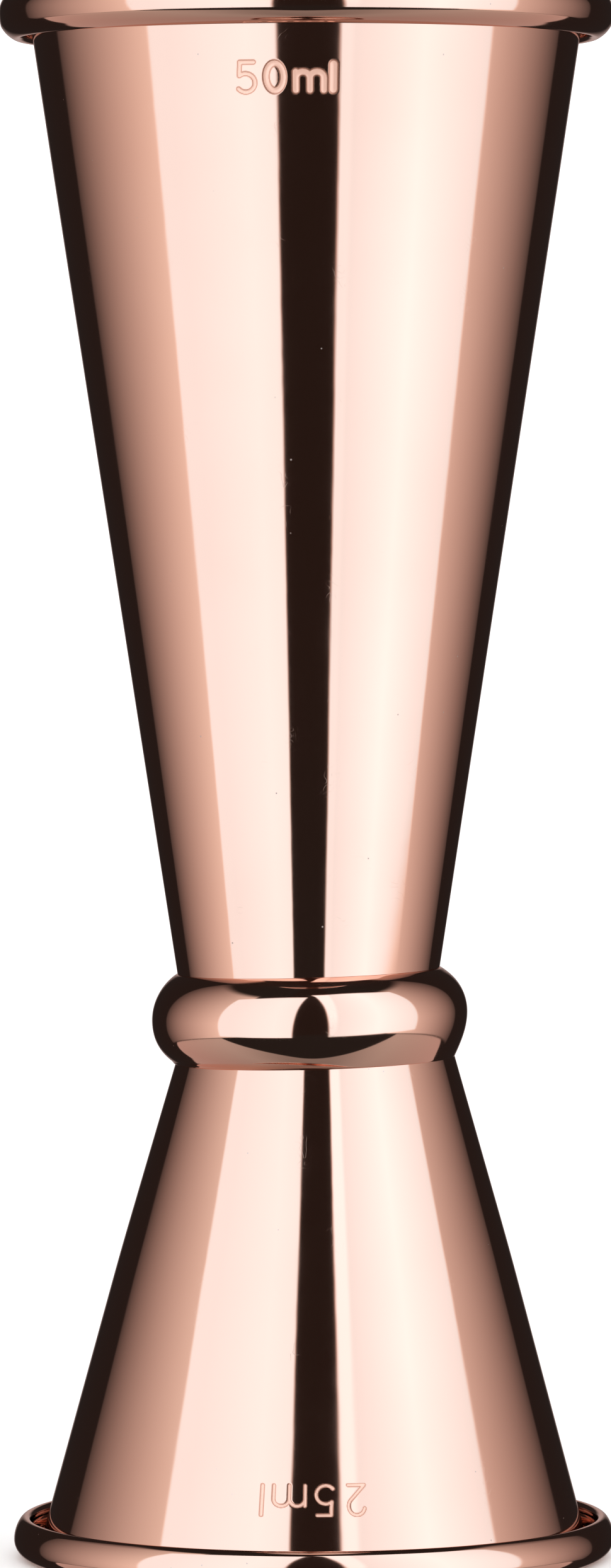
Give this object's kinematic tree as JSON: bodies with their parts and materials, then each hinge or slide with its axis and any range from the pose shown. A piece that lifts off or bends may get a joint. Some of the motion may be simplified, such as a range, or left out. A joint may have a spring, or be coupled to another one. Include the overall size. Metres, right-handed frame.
{
  "type": "bar jigger",
  "caption": "Double-ended bar jigger: two tapered copper-plated measuring cups joined base to base under a bulging waist band, with rolled rims.",
  "frame": {"origin": "centre of the circle on which the small cup's rim stands, on the axis, at the surface it stands on", "axes": "+Z along the axis towards the large cup's mouth; the capacity marks face -Y"},
  "size_m": [0.0457, 0.0456, 0.1168],
  "materials": {
    "copper_plate": "mirror-polished rose copper plating over stainless steel, fine handling scratches, satin inside the cups",
    "copper_band": "mirror-polished rose copper plating over stainless steel",
    "braze": "as-flowed silver-bearing brass braze",
    "solder": "as-flowed bright solder"
  },
  "bodies": {
    "root": {"large_cup": "copper_plate", "small_cup": "copper_plate", "waist_collar": "copper_band", "waist_braze": "braze", "collar_solder_large": "solder", "collar_solder_small": "solder"}
  },
  "joints": []
}
